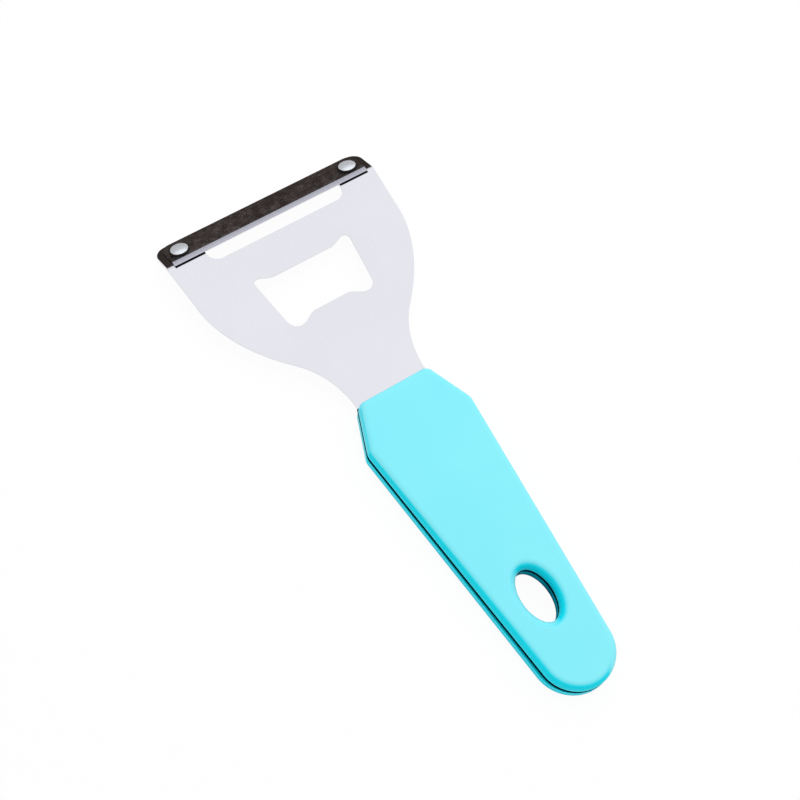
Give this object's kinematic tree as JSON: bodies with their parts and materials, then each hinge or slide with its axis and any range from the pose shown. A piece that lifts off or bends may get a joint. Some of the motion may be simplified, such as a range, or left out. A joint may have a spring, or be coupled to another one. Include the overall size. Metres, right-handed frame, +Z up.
{
  "type": "fruit peeler",
  "caption": "Wide-head fruit peeler: a steel plate with a riveted blade on its bent lip, a peel slot, a bottle opener hole and a flat two-sided plastic handle with a hanging hole.",
  "frame": {"origin": "middle of the part's box on its underside, below the centre line", "axes": "+Y along the peeler from the tail of the handle to the blade, +Z up off the plate's front face, +X across"},
  "size_m": [0.064, 0.157, 0.008],
  "materials": {
    "plate_steel": "pressed stainless sheet, satin polished",
    "blade_steel": "hardened stainless strip, polished, ground edge",
    "rivet_steel": "polished domed rivet",
    "handle_plastic": "moulded turquoise plastic, soft gloss"
  },
  "bodies": {
    "root": {"head_plate": "plate_steel", "blade": "blade_steel", "left_rivet": "rivet_steel", "right_rivet": "rivet_steel", "front_scale": "handle_plastic", "rear_scale": "handle_plastic"}
  },
  "joints": []
}
